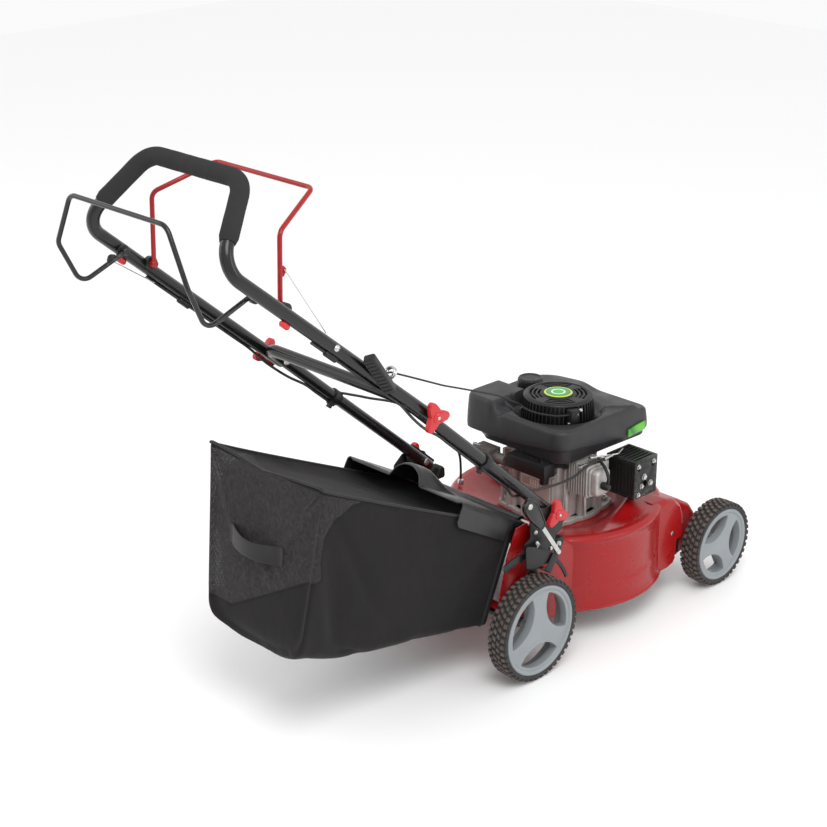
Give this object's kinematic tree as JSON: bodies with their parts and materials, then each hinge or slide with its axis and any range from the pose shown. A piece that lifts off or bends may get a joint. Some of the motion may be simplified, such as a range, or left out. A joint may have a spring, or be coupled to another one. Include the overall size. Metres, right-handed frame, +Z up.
{
  "type": "petrol lawn mower",
  "caption": "Walk-behind petrol rotary lawn mower: pressed steel deck, folding tube handle with two control bails, height-adjustable wheels and a rear grass bag.",
  "frame": {"origin": "middle of the footprint box, on the ground", "axes": "+X operator's right, +Y direction of travel, +Z up"},
  "size_m": [0.459, 1.375, 1.0552],
  "materials": {
    "red_paint": "gloss powder coat",
    "black_paint": "gloss black enamel",
    "bare_steel": "zinc plated",
    "dark_steel": "oiled dark steel",
    "cast_alloy": "as cast",
    "dark_alloy": "as cast",
    "black_plastic": "fine grain",
    "cowl_plastic": "matt moulded",
    "grey_plastic": "satin moulded",
    "red_plastic": "gloss moulded",
    "green_label": "printed film",
    "tank_plastic": "translucent",
    "tread": "matt rubber",
    "foam": "closed-cell foam",
    "cable": "extruded sheath",
    "rope": "braided cord",
    "bag_cloth": "woven polyester and mesh"
  },
  "bodies": {
    "deck": {"deck_shell": "red_paint", "handle_brackets": "black_paint", "height_quadrant": "black_paint", "axle_bearings": "black_plastic", "crankcase": "cast_alloy", "cylinder_block": "cast_alloy", "rocker_cover": "cast_alloy", "spark_plug": "black_plastic", "carburettor": "dark_alloy", "air_filter_box": "black_plastic", "fuel_tank": "tank_plastic", "engine_cowl": "cowl_plastic", "recoil_cover": "black_plastic", "badges": "green_label", "muffler": "dark_steel", "muffler_guard": "black_paint", "fasteners": "bare_steel", "flap_rod": "bare_steel", "control_bracket": "bare_steel"},
    "rear_axle": {"rear_axle": "dark_steel", "height_lever": "bare_steel", "lever_grip": "black_plastic"},
    "front_axle": {"front_axle": "dark_steel"},
    "link": {"link_rod": "bare_steel"},
    "wheel_rl": {"tyre_rl": "tread", "rim_rl": "grey_plastic"},
    "wheel_rr": {"tyre_rr": "tread", "rim_rr": "grey_plastic"},
    "wheel_fl": {"tyre_fl": "tread", "rim_fl": "grey_plastic"},
    "wheel_fr": {"tyre_fr": "tread", "rim_fr": "grey_plastic"},
    "cutter": {"crankshaft": "bare_steel", "flywheel": "dark_alloy", "blade_adapter": "dark_steel", "blade": "dark_steel", "blade_bolt": "bare_steel"},
    "starter_pulley": {"starter_pulley": "black_plastic"},
    "lower_handle": {"lower_handle": "black_paint", "cable_clips": "black_plastic", "fold_bolts": "bare_steel", "lower_cables": "cable", "starter_rope": "rope"},
    "upper_handle": {"upper_handle": "black_paint", "foam_grip": "foam", "bail_brackets": "black_paint", "rope_guide": "bare_steel", "upper_cables": "cable"},
    "base_knob_l": {"base_knob_l": "red_plastic"},
    "base_knob_r": {"base_knob_r": "red_plastic"},
    "fold_knob_l": {"fold_knob_l": "red_plastic"},
    "fold_knob_r": {"fold_knob_r": "red_plastic"},
    "red_bail": {"red_bail": "red_paint"},
    "black_bail": {"black_bail": "black_paint"},
    "starter_grip": {"starter_grip": "black_plastic"},
    "rear_flap": {"rear_flap": "black_plastic"},
    "bag": {"bag_fabric": "bag_cloth", "bag_frame": "black_paint"},
    "fuel_cap": {"fuel_cap": "black_plastic"},
    "oil_plug": {"oil_plug": "black_plastic"}
  },
  "joints": [
    {"name": "height_adjust", "type": "hinge", "parent": "deck", "child": "rear_axle", "pos_m": [0, 0.0155, 0.119], "axis": [1, 0, 0], "range_deg": [-32, 54]},
    {"name": "front_axle_swing", "type": "hinge", "parent": "deck", "child": "front_axle", "pos_m": [0, 0.5705, 0.1065], "axis": [1, 0, 0], "range_deg": [-32, 54]},
    {"name": "link_swing", "type": "hinge", "parent": "rear_axle", "child": "link", "pos_m": [-0.177, 0.0155, 0.164], "axis": [1, 0, 0], "range_deg": [-54, 32]},
    {"name": "wheel_rl_spin", "type": "hinge", "parent": "rear_axle", "child": "wheel_rl", "pos_m": [-0.206, 0.0435, 0.1015], "axis": [1, 0, 0], "continuous": true},
    {"name": "wheel_rr_spin", "type": "hinge", "parent": "rear_axle", "child": "wheel_rr", "pos_m": [0.206, 0.0435, 0.1015], "axis": [1, 0, 0], "continuous": true},
    {"name": "wheel_fl_spin", "type": "hinge", "parent": "front_axle", "child": "wheel_fl", "pos_m": [-0.206, 0.5985, 0.089], "axis": [1, 0, 0], "continuous": true},
    {"name": "wheel_fr_spin", "type": "hinge", "parent": "front_axle", "child": "wheel_fr", "pos_m": [0.206, 0.5985, 0.089], "axis": [1, 0, 0], "continuous": true},
    {"name": "cutter_spin", "type": "hinge", "parent": "deck", "child": "cutter", "pos_m": [0, 0.3355, 0.15], "axis": [0, 0, 1], "continuous": true},
    {"name": "pulley_spin", "type": "hinge", "parent": "deck", "child": "starter_pulley", "pos_m": [0, 0.3355, 0.406], "axis": [0, 0, 1], "range_deg": [-5, 860]},
    {"name": "lower_fold", "type": "hinge", "parent": "deck", "child": "lower_handle", "pos_m": [0, 0.1235, 0.3], "axis": [1, 0, 0], "range_deg": [-40, 0], "deforming": ["lower_cables", "starter_rope"]},
    {"name": "upper_fold", "type": "hinge", "parent": "lower_handle", "child": "upper_handle", "pos_m": [0, -0.2235, 0.599], "axis": [1, 0, 0], "range_deg": [-110, 0], "deforming": ["starter_rope"]},
    {"name": "base_knob_l_turn", "type": "hinge", "parent": "deck", "child": "base_knob_l", "pos_m": [-0.19, 0.1235, 0.3], "axis": [1, 0, 0], "continuous": true},
    {"name": "base_knob_r_turn", "type": "hinge", "parent": "deck", "child": "base_knob_r", "pos_m": [0.19, 0.1235, 0.3], "axis": [1, 0, 0], "continuous": true},
    {"name": "fold_knob_l_turn", "type": "hinge", "parent": "lower_handle", "child": "fold_knob_l", "pos_m": [-0.218, -0.2235, 0.599], "axis": [1, 0, 0], "continuous": true},
    {"name": "fold_knob_r_turn", "type": "hinge", "parent": "lower_handle", "child": "fold_knob_r", "pos_m": [0.218, -0.2235, 0.599], "axis": [1, 0, 0], "continuous": true},
    {"name": "stop_bail", "type": "hinge", "parent": "upper_handle", "child": "red_bail", "pos_m": [0, -0.5045, 0.842], "axis": [1, 0, 0], "range_deg": [0, 34], "stiffness_Nm_per_rad": 1, "springref_deg": -28.65},
    {"name": "drive_bail", "type": "hinge", "parent": "upper_handle", "child": "black_bail", "pos_m": [0, -0.5605, 0.875], "axis": [1, 0, 0], "range_deg": [-45, 0], "stiffness_Nm_per_rad": 1, "springref_deg": 28.65},
    {"name": "starter_pull", "type": "slide", "parent": "upper_handle", "child": "starter_grip", "axis": [0, -0.5, 0.866], "range_m": [0, 0.5], "stiffness_N_per_m": 12, "springref_m": -0.3},
    {"name": "flap_lift", "type": "hinge", "parent": "deck", "child": "rear_flap", "pos_m": [0, 0.0755, 0.287], "axis": [1, 0, 0], "range_deg": [-45, 0], "stiffness_Nm_per_rad": 0.6, "springref_deg": 34.38},
    {"name": "bag_lift_off", "type": "slide", "parent": "deck", "child": "bag", "axis": [0, -0.8716, 0.4903], "range_m": [0, 0.45]},
    {"name": "fuel_cap_turn", "type": "hinge", "parent": "deck", "child": "fuel_cap", "pos_m": [-0.112, 0.3785, 0.41], "axis": [0, 0, 1], "range_deg": [0, 120]},
    {"name": "oil_plug_turn", "type": "hinge", "parent": "deck", "child": "oil_plug", "pos_m": [0.05, 0.2415, 0.3], "axis": [0, 0, 1], "range_deg": [0, 180]}
  ],
  "couplings": [
    {"joint": "front_axle_swing", "follows": "height_adjust", "ratio": 1},
    {"joint": "link_swing", "follows": "height_adjust", "ratio": -1},
    {"joint": "pulley_spin", "follows": "starter_pull", "rad_per_m": 29.4}
  ]
}
